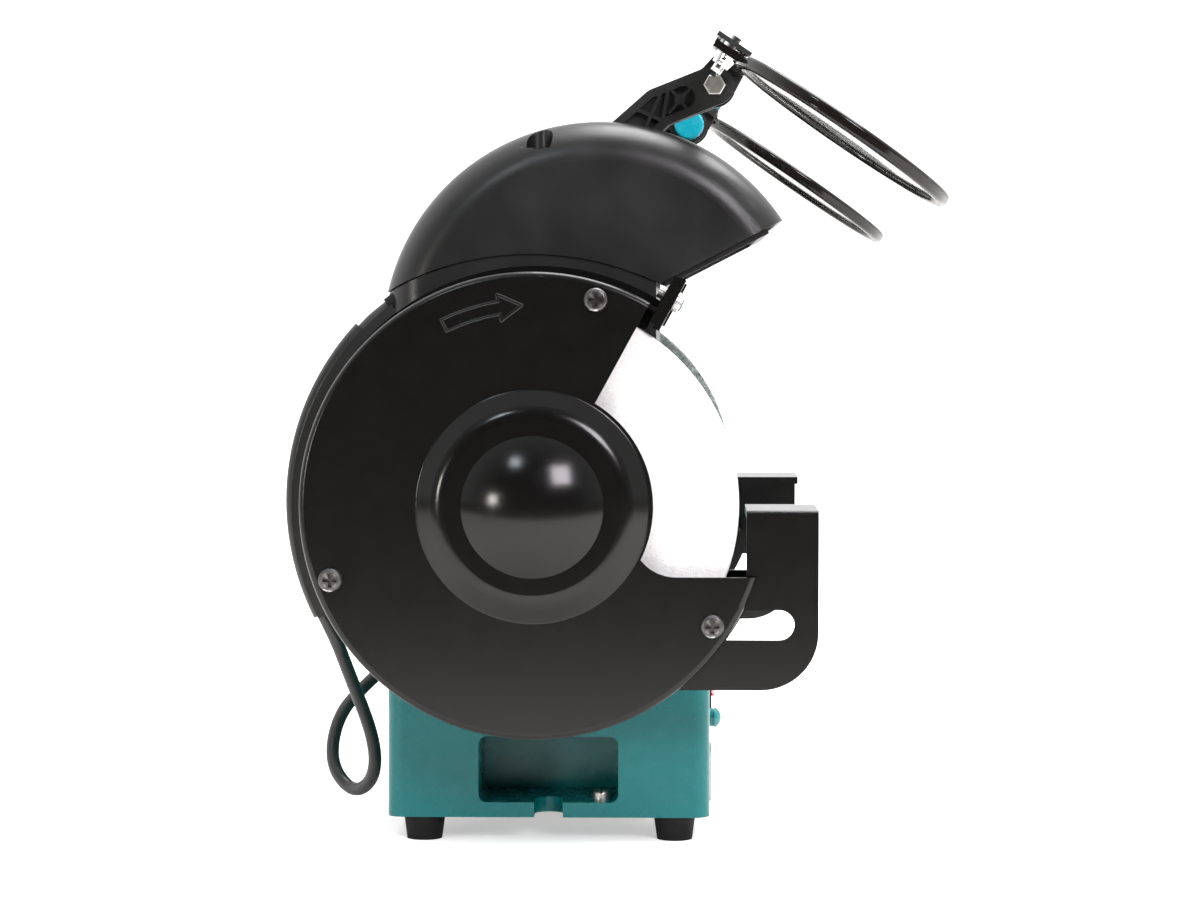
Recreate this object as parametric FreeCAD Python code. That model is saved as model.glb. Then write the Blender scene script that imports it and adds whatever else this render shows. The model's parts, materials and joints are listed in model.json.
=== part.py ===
"""Double-ended bench grinder with a lamp hood, two round eye shields and two tool rests.

Everything is drawn about the shaft's axis (X to the operator, Y along the shaft, Z up) and moved at export,
so that the saved parts stand on the bench with the origin midway between the two bench bolt slots.
Left is the end at -Y, right is the end at +Y, as the operator stands.
"""
import FreeCAD, Part
import os
from math import atan2, cos, pi, radians, sin, sqrt, tan

Vec = FreeCAD.Vector

# Placement of the shaft's axis over the bench
SHAFT_X = -3.5
SHAFT_HEIGHT = 130.0

# Grinding wheels and their clamping
WHEEL_R = 75.0
WHEEL_WIDTH = 16.0
WHEEL_Y = 125.0
ARBOR_R = 6.35
FLANGE_R = 28.0
FLANGE_THICK = 4.0
NUT_THICK = 9.0

# Wheel guards
COVER_Y = 143.0
COVER_R = 85.2
DRUM_R = 84.6
RIM_R = 87.6
SHEET = 1.5
GUARD_BACK_Y = 106.0
DOME_R = 25.8
PLATEAU_R = 34.6
STEP_R = 42.4
PLATEAU_RISE = 5.0
DOME_RISE = 12.5
STEP_ROUND = 1.5
PLATEAU_ROUND = 9.0
SCREW_CIRCLE = 78.3
OPENING_TOP = (42.5, 73.8)
OPENING_INNER = (22.6, 37.4)
OPENING_SILL = -25.7
REST_SCREW_ANGLE = -33.6
COVER_SCREW_ANGLES = (73.0, 200.0)

# Motor
MOTOR_R = 63.0
MOTOR_WALL = 3.0
MOTOR_HALF = 88.0
STATOR_R = 54.0
ROTOR_R = 31.6
CORE_HALF = 34.0
BEARING_R = 17.5
BEARING_BORE = 7.5
BEARING_Y = 96.0
BEARING_WIDTH = 11.0

# Base
BASE_BACK = -57.6
BASE_FRONT = 64.6
BASE_HALF = 93.0
BASE_BOTTOM = -121.0
BASE_TOP = -46.0
BASE_WALL = 3.0
BASE_ROUND = 6.0
SWITCH_Z = -78.7
BUTTON_Y = -44.0
BUTTON_Z = -88.7
MAINS_Y = 40.0
MAINS_Z = -100.0
FOOT_HEIGHT = 9.0
POCKET_HALF = 26.5
POCKET_DEPTH = 40.0
POCKET_FLOOR = -115.3
POCKET_TOP = -90.2
BOLT_SLOT_R = 5.5
BOLT_SLOT_DEPTH = 9.5

# Lamp hood
HOOD_HALF = 88.0
HOOD_CENTRE = (22.6, 59.5)
HOOD_R = 83.3
HOOD_WALL = 2.5
HOOD_ROUND = 15.0
HOOD_TIP = (91.3, 104.7)
HOOD_HEEL = (45.6, 81.2)
HOOD_BACK = (-57.3, 77.6)
SADDLE_CENTRE = (-2.2, -19.7)
SADDLE_R = 112.0
SADDLE_ROUND = 13.8

# Eye shields and their arms
ARM_Y = 63.0
ARM_WIDTH = 14.0
ARM_HEIGHT = 15.0
ARM_LINE = (0.752, 0.659)
ARM_ELBOW = (45.0, 148.5)
TILT_BOLT = (66.2, 156.9)
ARM_TAIL = 52.0
SHIELD_Y = 123.0
SHIELD_R = 46.4
SHIELD_TILT = -34.5
SHIELD_TIP = (74.2, 162.9)
RIGHT_ARM_IN = 12.9

# Lamp lead: the conduit's arc behind the left guard, and the free loop and top end that carry on from it
LEAD_R = 2.6
CONDUIT_R = 3.9
CONDUIT_CENTRE = (2.0, -2.1)
CONDUIT_CIRCLE = 95.6
CONDUIT_Y = -78.0
CONDUIT_TOP = 136.8
CONDUIT_END = 206.7
CONDUIT_FLANGE_TOP = 127.0
LEAD_LOOP = [
    (-83.4, -78.0, -45.07),
    (-78.46, -78.0, -54.88),
    (-75.32, -69.5, -66.61),
    (-65.81, -52.5, -97.62),
    (-67.3, -43, -114.14),
    (-76.84, -32, -121.24),
    (-86.79, -24, -110.51),
    (-85.06, -16, -93.63),
    (-76.66, -6, -82.4),
    (-60.6, 2.0, -68.5),
]
LEAD_TOP = [
    (-67.68, -78.0, 63.36),
    (-63.92, -78.0, 67.35),
    (-57.6, -78.0, 72.4),
]


# ---------------------------------------------------------------- helpers
def box(x0, x1, y0, y1, z0, z1):
    return Part.makeBox(x1 - x0, y1 - y0, z1 - z0, Vec(x0, y0, z0))


def rod(r, start, end):
    """A round bar between two points."""
    a, b = Vec(*start), Vec(*end)
    return Part.makeCylinder(r, (b - a).Length, a, b - a)


def rod_y(r, y0, y1, x=0.0, z=0.0):
    return rod(r, (x, y0, z), (x, y1, z))


def ring_y(r_out, r_in, y0, y1, x=0.0, z=0.0):
    return rod_y(r_out, y0, y1, x, z).cut(rod_y(r_in, y0 - 1, y1 + 1, x, z))


def cone(r_start, r_end, start, end):
    a, b = Vec(*start), Vec(*end)
    return Part.makeCone(r_start, r_end, (b - a).Length, a, b - a)


def fuse(shapes):
    whole = shapes[0]
    if len(shapes) > 1:
        whole = whole.multiFuse(shapes[1:])
    return whole.removeSplitter()


def cut(shape, tools):
    for tool in tools:
        shape = shape.cut(tool)
    return shape


def prism(points, y0, y1):
    """A straight-sided outline of (x, z) points, extruded along Y."""
    corners = [Vec(x, y0, z) for x, z in points]
    wire = Part.makePolygon(corners + corners[:1])
    return Part.Face(wire).extrude(Vec(0, y1 - y0, 0))


def outline(edges, y0, y1):
    """An outline of (x, z) lines [p, q] and arcs [p, mid, q], extruded along Y."""
    made = []
    for points in edges:
        at = [Vec(x, y0, z) for x, z in points]
        made.append(Part.makeLine(*at) if len(at) == 2 else Part.Arc(*at).toShape())
    return Part.Face(Part.Wire(made)).extrude(Vec(0, y1 - y0, 0))


def bar(p, q, width, y0, y1):
    """A flat link with round ends, between two (x, z) points."""
    run = Vec(q[0] - p[0], 0, q[1] - p[1])
    side = Vec(-run.z, 0, run.x).normalize() * (width / 2)
    a, b = Vec(p[0], y0, p[1]), Vec(q[0], y0, q[1])
    corners = [a + side, b + side, b - side, a - side]
    body = Part.Face(Part.makePolygon(corners + corners[:1])).extrude(Vec(0, y1 - y0, 0))
    ends = [rod_y(width / 2, y0, y1, *p), rod_y(width / 2, y0, y1, *q)]
    return fuse([body] + ends)


def polar(r, angle):
    return r * cos(radians(angle)), r * sin(radians(angle))


def hexagon(across, y0, y1, x=0.0, z=0.0):
    r = across / sqrt(3)
    points = [(x + r * cos(k * pi / 3), z + r * sin(k * pi / 3)) for k in range(6)]
    return prism(points, y0, y1)


def mirrored(shape):
    return shape.mirror(Vec(0, 0, 0), Vec(0, 1, 0))


def moved(shape, x=0.0, y=0.0, z=0.0):
    copy = shape.copy()
    copy.translate(Vec(x, y, z))
    return copy


def rounded(shape, radius, chosen):
    """Fillets the edges that the test picks."""
    return shape.makeFillet(radius, [edge for edge in shape.Edges if chosen(edge)])


def save(node, *solids):
    """Writes a node from its separate solids, on the bench."""
    pieces = []
    for solid in solids:
        pieces += solid.Solids
    for piece in pieces:
        if not piece.isValid() or piece.Volume <= 0:
            raise ValueError("bad solid in " + node)
    whole = pieces[0] if len(pieces) == 1 else Part.makeCompound(pieces)
    moved(whole, SHAFT_X, 0, SHAFT_HEIGHT).exportStep("parts/" + node + ".step")


def save_pair(node, *solids):
    """Writes the left piece and its mirror image on the right, as two nodes."""
    save(node + "_left", *solids)
    save(node + "_right", *[mirrored(s) for s in solids])


def both(solids):
    """The left pieces with their mirror images on the right, for one node."""
    return list(solids) + [mirrored(s) for s in solids]


# ---------------------------------------------------------------- wheels and rotor
def pan_screw(x, z, y_face, length, head_r=4.35, shank_r=2.0):
    """A cross-recessed pan head screw on a face that looks to -Y, its shank running to +Y."""
    head = rod_y(head_r, y_face - 2.6, y_face, x, z)
    head = rounded(head, 1.4, lambda e: abs(e.CenterOfMass.y - (y_face - 2.6)) < 0.01 and e.isClosed())
    slots = [
        box(x - 2.5, x + 2.5, y_face - 3, y_face - 0.7, z - 0.6, z + 0.6),
        box(x - 0.6, x + 0.6, y_face - 3, y_face - 0.7, z - 2.5, z + 2.5),
    ]
    return cut(fuse([head, rod_y(shank_r, y_face - 0.5, y_face + length, x, z)]), slots)


def wheel():
    inner, outer = -WHEEL_Y + WHEEL_WIDTH / 2, -WHEEL_Y - WHEEL_WIDTH / 2
    disc = rod_y(WHEEL_R, outer, inner)
    disc = rounded(disc, 0.8, lambda e: e.Length > 2 * pi * WHEEL_R - 1)
    return disc.cut(rod_y(ARBOR_R + 0.05, outer - 1, inner + 1))


def flange(y_wheel, outward):
    """A clamping flange whose rim bears on the wheel, with a relieved middle."""
    y_back = y_wheel + outward * FLANGE_THICK
    body = rod_y(FLANGE_R, *sorted((y_wheel, y_back)))
    relief = rod_y(FLANGE_R - 7, *sorted((y_wheel, y_wheel + outward)))
    dish = cone(FLANGE_R + 1, FLANGE_R - 5, (0, y_wheel + outward * 1.8, 0), (0, y_back + outward * 0.5, 0))
    trim = rod_y(FLANGE_R + 2, *sorted((y_wheel + outward * 1.8, y_back + outward))).cut(dish)
    return cut(body, [relief, trim, rod_y(ARBOR_R + 0.03, -150, 150)])


def make_wheels():
    inner, outer = -WHEEL_Y + WHEEL_WIDTH / 2, -WHEEL_Y - WHEEL_WIDTH / 2
    save_pair("grinding_wheel", wheel())
    save("wheel_flanges", *both([flange(inner, 1), flange(outer, -1)]))
    y_nut = outer - FLANGE_THICK
    chamfer = cone(8.7, 12.5, (0, y_nut - NUT_THICK - 0.01, 0), (0, y_nut - NUT_THICK + 2.2, 0))
    keep = fuse([chamfer, rod_y(12.5, y_nut - NUT_THICK + 2.2, y_nut)])
    nut = hexagon(19.0, y_nut - NUT_THICK, y_nut).common(keep)
    save("wheel_nuts", *both([nut.cut(rod_y(ARBOR_R + 0.03, -150, 0))]))


def make_rotor():
    """The shaft carries the rotor core between two ball bearings and a wheel at each end."""
    shoulder = WHEEL_Y - WHEEL_WIDTH / 2 - FLANGE_THICK
    end = WHEEL_Y + WHEEL_WIDTH / 2 + FLANGE_THICK + NUT_THICK + 1.5
    bearing_end = BEARING_Y + BEARING_WIDTH / 2
    shaft = fuse([
        rod_y(ARBOR_R, -end, end),
        rod_y(BEARING_BORE - 0.01, -shoulder, shoulder),
        rod_y(9.5, -BEARING_Y + BEARING_WIDTH / 2, BEARING_Y - BEARING_WIDTH / 2),
    ])
    save("shaft", shaft)
    core = ring_y(ROTOR_R, 9.52, -CORE_HALF, CORE_HALF)
    rings = [ring_y(ROTOR_R - 2, 18, *sorted((s * CORE_HALF, s * (CORE_HALF + 5)))) for s in (-1, 1)]
    save("rotor_core", fuse([core] + rings))
    y0, y1 = -bearing_end, -BEARING_Y + BEARING_WIDTH / 2
    outer_race = ring_y(BEARING_R - 0.02, 14.6, y0, y1)
    shields = ring_y(14.6, 10.6, y0 + 0.8, y1 - 0.8)
    save("ball_bearings", *both([fuse([outer_race, shields])]))
    save("bearing_inner_races", *both([ring_y(10.5, BEARING_BORE, y0, y1)]))


def make_motor():
    housing = ring_y(MOTOR_R, MOTOR_R - MOTOR_WALL, -MOTOR_HALF, MOTOR_HALF)
    bosses = [box(-11, 11, y - 9, y + 9, -74, -MOTOR_R + 1) for y in (-45, 45)]
    cable_hole = rod(5, (0, 0, -75), (0, 0, -55))
    bolt_holes = [rod(2.5, (0, y, -75), (0, y, -50)) for y in (-45, 45)]
    housing = fuse([housing] + bosses)
    save("motor_housing", cut(housing, [cable_hole] + bolt_holes))
    bolts = [
        fuse([rod(2.45, (0, y, -79), (0, y, -61.5)), rod(4.6, (0, y, -82.5), (0, y, -78.1))])
        for y in (-45, 45)
    ]

    wall = CORE_HALF
    stator = ring_y(STATOR_R, ROTOR_R + 0.5, -wall, wall)
    keys = [
        box(STATOR_R - 1, MOTOR_R - MOTOR_WALL, -wall, wall, -5, 5),
        box(-MOTOR_R + MOTOR_WALL, 1 - STATOR_R, -wall, wall, -5, 5),
    ]
    inside = rod_y(MOTOR_R - MOTOR_WALL, -wall, wall)
    save("stator_core", fuse([stator] + [key.common(inside) for key in keys]))
    coil = Part.makeTorus(44.0, 8.0, Vec(0, -wall - 8.0, 0), Vec(0, 1, 0))
    save("stator_windings", coil, mirrored(coil))

    y_joint, y_face = -MOTOR_HALF, -GUARD_BACK_Y
    bell = rod_y(MOTOR_R, y_face, y_joint)
    hollow = rod_y(MOTOR_R - MOTOR_WALL, y_face + 13.5, y_joint + 1)
    hub = rod_y(BEARING_R + 4, y_face, y_joint - 1).cut(
        rod_y(BEARING_R, -BEARING_Y - BEARING_WIDTH / 2, y_joint + 1))
    bell = fuse([cut(bell, [hollow, rod_y(BEARING_R, -BEARING_Y - BEARING_WIDTH / 2, y_joint)]), hub])
    spokes = [polar(STATOR_R + 2.9, a) for a in (45, 135, 225, 315)]
    lugs = [rod_y(3.2, y_face + 10, y_joint - 1, x, z) for x, z in spokes]
    inner_pillar = rod_y(MOTOR_R - 0.5, y_face, y_joint)
    bell = fuse([bell] + [lug.common(inner_pillar) for lug in lugs])
    holes = [rod_y(2.1, y_face - 1, y_joint + 1, x, z) for x, z in spokes]
    guard_holes = [rod_y(2.1, y_face - 1, y_face + 11, *polar(29, a)) for a in (0, 90, 180, 270)]
    bell = cut(bell, holes + guard_holes + [rod_y(9, y_face - 1, 0)])
    tie = [fuse([rod_y(1.9, -104.5, 104.5, x, z), hexagon(7, -105.5, -102.6, x, z)]) for x, z in spokes]
    sinks = [rod_y(4.3, y_face - 1, -102.5, x, z) for x, z in spokes]
    save("end_bells", *both([cut(bell, sinks)]))
    save("motor_bolts", *(tie + bolts))


# ---------------------------------------------------------------- wheel guards
def opening(y0, y1, shift=0.0):
    """The guard's open sector: a slanted upper edge, an arc round the raised ring, and a level sill."""
    ux, uz = OPENING_TOP[0] - OPENING_INNER[0], OPENING_TOP[1] - OPENING_INNER[1]
    length = sqrt(ux * ux + uz * uz)
    nx, nz = uz / length * shift, -ux / length * shift
    far = (OPENING_TOP[0] + ux + nx, OPENING_TOP[1] + uz + nz)
    r = sqrt(OPENING_INNER[0] ** 2 + OPENING_INNER[1] ** 2)
    start = (OPENING_INNER[0] + nx, OPENING_INNER[1] + nz)
    fillet_end = (52.6, OPENING_SILL)
    fillet_start = polar(r, -26.4)
    middle = polar(r, 14.0)
    bend = (44.6, -23.9)
    edges = [
        [start, middle, fillet_start],
        [fillet_start, bend, fillet_end],
        [fillet_end, (130, OPENING_SILL)],
        [(130, OPENING_SILL), (130, far[1])],
        [(130, far[1]), far],
        [far, start],
    ]
    return outline(edges, y0, y1)


def arrow_line(y, r_line):
    """The raised outline of an arrow that shows which way the wheel turns."""
    r, half, head_half = SCREW_CIRCLE - 5.3, 2.3, 4.8
    tail, neck, tip = 116.0, 99.5, 93.0
    corners = [polar(r + half, tail - k * (tail - neck) / 4) for k in range(5)]
    corners += [polar(r + head_half, neck), polar(r, tip), polar(r - head_half, neck)]
    corners += [polar(r - half, neck + k * (tail - neck) / 4) for k in range(5)]
    sides = zip(corners, corners[1:] + corners[:1])
    lines = [rod(r_line, (p[0], y, p[1]), (q[0], y, q[1])) for p, q in sides]
    return fuse(lines + [Part.makeSphere(r_line, Vec(x, y, z)) for x, z in corners])


def guard_cover():
    """The pressed front plate, with a raised ring and a gloss dome over the nut."""
    bowl_r = (DOME_R ** 2 + (DOME_RISE - PLATEAU_RISE) ** 2) / (2 * (DOME_RISE - PLATEAU_RISE))

    def pressing(drop):
        """The outside of the pressing, or its inside when dropped by the sheet's thickness."""
        y_face = -COVER_Y + drop
        plate = rod_y(COVER_R - drop, y_face, -COVER_Y + 6)
        step = cone(STEP_R, PLATEAU_R, (0, y_face + 0.01, 0), (0, y_face - PLATEAU_RISE, 0))
        ball = Part.makeSphere(bowl_r, Vec(0, y_face - DOME_RISE + bowl_r, 0))
        slab = rod_y(DOME_R + 2, y_face - DOME_RISE - 1, y_face - PLATEAU_RISE + 0.5)
        return fuse([plate, step, ball.common(slab)])

    outside = pressing(0.0)
    for radius, r_edge, rise in ((STEP_ROUND, STEP_R, 0.0), (PLATEAU_ROUND, PLATEAU_R, PLATEAU_RISE)):
        outside = rounded(
            outside, radius,
            lambda e: abs(e.CenterOfMass.y + COVER_Y + rise) < 0.05 and abs(e.Length - 2 * pi * r_edge) < 0.5)
    shell = outside.cut(pressing(SHEET))
    lip = rod_y(COVER_R + 1, -COVER_Y + 2.4, -COVER_Y + 7)
    shell = shell.cut(lip)
    shell = rounded(
        shell, 2.2,
        lambda e: e.Length > 2 * pi * COVER_R - 0.5 and abs(e.CenterOfMass.y + COVER_Y) < 0.01)
    shell = shell.cut(opening(-COVER_Y - 1, -COVER_Y + 8))
    angles = COVER_SCREW_ANGLES + (REST_SCREW_ANGLE,)
    holes = [rod_y(2.6, -COVER_Y - 1, -COVER_Y + 3, *polar(SCREW_CIRCLE, a)) for a in angles]
    arrow = arrow_line(-COVER_Y + 0.15, 0.8)
    return fuse([cut(shell, holes), arrow])


def guard_body():
    """The drum and its back plate, open at the front, with an ear for the spark deflector."""
    y_front, y_back = -COVER_Y + 2.5, -GUARD_BACK_Y
    drum = ring_y(DRUM_R, DRUM_R - SHEET, y_front, y_back)
    back = rod_y(DRUM_R, y_back - SHEET, y_back)
    rim = ring_y(RIM_R, DRUM_R - 1, y_back - 2.4, y_back)
    body = fuse([drum, back, rim]).cut(opening(y_front - 1, y_back + 1, shift=3.1))
    limb_window = box(30, 120, -141, -136.4, -68.5, -20).common(ring_y(120, 70, -141, -136.4))
    holes = [rod_y(2.1, y_back - 3, y_back + 1, *polar(29, a)) for a in (0, 90, 180, 270)]
    body = cut(body, [limb_window, rod_y(20, y_back - 3, y_back + 1)] + holes)
    studs = [
        rod_y(4.5, y_back - SHEET - 6, y_back - SHEET, *polar(SCREW_CIRCLE, a)) for a in COVER_SCREW_ANGLES
    ]
    thread = [rod_y(2.02, -120, y_back - SHEET, *polar(SCREW_CIRCLE, a)) for a in COVER_SCREW_ANGLES]
    ear = turned_plate(3.1, 2.0, (-6.0, 13.0), -COVER_Y + 3.5, -COVER_Y + 34)
    slot = deflector_slot(-1, 8, 2.05, 0.0)
    return fuse([cut(fuse([body] + studs), thread), cut(ear, slot)])


def edge_frame():
    """Unit vectors along the opening's upper edge (outward) and square to it (to the front)."""
    ux, uz = OPENING_TOP[0] - OPENING_INNER[0], OPENING_TOP[1] - OPENING_INNER[1]
    length = sqrt(ux * ux + uz * uz)
    return (ux / length, uz / length), (uz / length, -ux / length)


def edge_point(along, off):
    """A point measured along the opening's upper edge from its outer end, and square off it."""
    (ux, uz), (nx, nz) = edge_frame()
    return OPENING_TOP[0] + ux * along + nx * off, OPENING_TOP[1] + uz * along + nz * off


def turned_plate(off, thick, span, y0, y1):
    """A flat plate parallel to the opening's upper edge."""
    a, b = span
    inner, outer = off, off + thick
    return prism([edge_point(a, inner), edge_point(b, inner), edge_point(b, outer), edge_point(a, outer)],
                 y0, y1)


def deflector_slot(off0, off1, r, half):
    """Two slots through the deflector, one each side, as tools to cut with."""
    tools = []
    for y in (-COVER_Y + 12, -COVER_Y + 26):
        for along in (5.0 - half, 5.0 + half):
            (x0, z0), (x1, z1) = edge_point(along, off0), edge_point(along, off1)
            tools.append(rod(r, (x0, y, z0), (x1, y, z1)))
        if half:
            tools.append(turned_plate(off0, off1 - off0, (5.0 - half, 5.0 + half), y - r, y + r))
    return tools


def make_guards():
    save_pair("guard_cover", guard_cover())
    save_pair("wheel_guard", guard_body())
    plate = turned_plate(5.2, 2.5, (-7.4, 13.4), -COVER_Y + 3.5, -COVER_Y + 34)
    save_pair("spark_deflector", cut(plate, deflector_slot(4, 9, 2.1, 6.0)))


def make_screws():
    """All the cross-recessed pan head screws: guard covers, rests, guards, deflectors and hood."""
    x, z = polar(SCREW_CIRCLE, REST_SCREW_ANGLE)
    screws = [pan_screw(*polar(SCREW_CIRCLE, a), -COVER_Y, 30) for a in COVER_SCREW_ANGLES]
    screws.append(pan_screw(x, z, -COVER_Y, 8.2, shank_r=2.5))
    screws += [pan_screw(*polar(29, a), -GUARD_BACK_Y - SHEET, 9, head_r=3.9) for a in (0, 90, 180, 270)]
    for y in (-COVER_Y + 12, -COVER_Y + 26):
        spots = [edge_point(5.0, off) for off in (0.6, 7.72, 10.2)]
        low, face, top = [(x, y, z) for x, z in spots]
        screws.append(fuse([rod(2.0, low, face), rod(3.8, face, top)]))
    y, z = -HOOD_SCREW_Y, HOOD_SCREW_Z
    head = rod(4.2, (0, y, z), (0, y, z + 2.8))
    cross = [
        box(-2.2, 2.2, y - 0.5, y + 0.5, z + 1.4, z + 4),
        box(-0.5, 0.5, y - 2.2, y + 2.2, z + 1.4, z + 4),
    ]
    screws.append(cut(fuse([head, rod(2.0, (0, y, 84.5), (0, y, z + 0.5))]), cross))
    save("pan_screws", *both(screws))


# ---------------------------------------------------------------- tool rests
REST_PLATE = (-140.0, -137.0)
REST_TOP = -1.6
REST_BOTTOM = -67.0
REST_INNER = 77.6
REST_OUTER = 103.8
REST_SLOT = (53.0, 89.5)
REST_SLOT_R = 5.6


def tool_rest():
    y0, y1 = REST_PLATE
    slot_z = polar(SCREW_CIRCLE, REST_SCREW_ANGLE)[1]
    nose = 21.0
    corner = REST_OUTER - nose * (1 - cos(radians(45))), REST_BOTTOM + nose * (1 - sin(radians(45)))
    side = outline([
        [(REST_INNER, REST_TOP - 3), (REST_OUTER, REST_TOP - 3)],
        [(REST_OUTER, REST_TOP - 3), (REST_OUTER, REST_BOTTOM + nose)],
        [(REST_OUTER, REST_BOTTOM + nose), corner, (REST_OUTER - nose, REST_BOTTOM)],
        [(REST_OUTER - nose, REST_BOTTOM), (47.0, REST_BOTTOM)],
        [(47.0, REST_BOTTOM), (43.0, -56.0)],
        [(43.0, -56.0), (43.0, -31.0)],
        [(43.0, -31.0), (REST_INNER, -29.5)],
        [(REST_INNER, -29.5), (REST_INNER, REST_TOP - 3)],
    ], y0, y1)
    slot = bar((REST_SLOT[0], slot_z), (REST_SLOT[1], slot_z), 2 * REST_SLOT_R, y0 - 1, y1 + 1)
    table = box(REST_INNER, REST_OUTER, y0, y0 + 41, REST_TOP - 3, REST_TOP)
    bracket = fuse([side.cut(slot), table])
    return rounded(
        bracket, 1.5,
        lambda e: abs(e.CenterOfMass.y - y0) < 0.01 and abs(e.CenterOfMass.z - REST_TOP) < 0.01)


def make_rests():
    x, z = polar(SCREW_CIRCLE, REST_SCREW_ANGLE)
    save_pair("tool_rest", tool_rest())
    neck = rod_y(REST_SLOT_R - 0.35, -COVER_Y + SHEET + 0.02, -136.9, x, z)
    drum_inside = rod_y(DRUM_R - SHEET - 0.3, -138, -134)
    head = box(x - 7.5, x + 7.5, -136.9, -134.4, z - 7.5, z + 7.5).common(drum_inside)
    save("rest_clamp_nuts", *both([fuse([neck, head]).cut(rod_y(2.53, -150, -130, x, z))]))


# ---------------------------------------------------------------- base
FEET = [(x, y) for x in (-44.0, 51.3) for y in (-85.0, 85.0)]


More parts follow.
